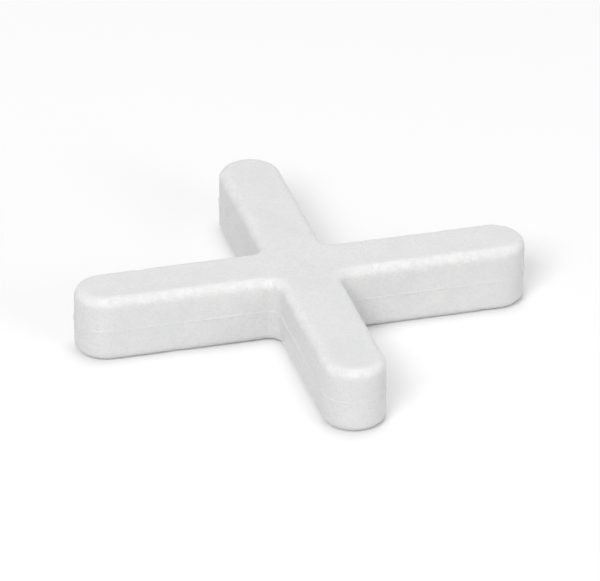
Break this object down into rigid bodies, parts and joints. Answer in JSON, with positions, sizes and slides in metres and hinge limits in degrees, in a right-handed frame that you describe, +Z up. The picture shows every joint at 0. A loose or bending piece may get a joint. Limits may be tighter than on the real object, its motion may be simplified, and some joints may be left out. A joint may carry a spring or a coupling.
{
  "type": "tile spacer",
  "caption": "Small moulded plastic cross with round-ended arms that holds an even joint between the corners of neighbouring tiles.",
  "frame": {"origin": "centre of the underside, where the arms cross", "axes": "+X and +Y along the arms, +Y towards the arm that the mould was filled from, +Z up out of the top face"},
  "size_m": [0.018, 0.0181, 0.0027],
  "materials": {
    "white_plastic": "satin, fine spark-eroded grain"
  },
  "bodies": {
    "root": {"cross_spacer": "white_plastic"}
  },
  "joints": []
}
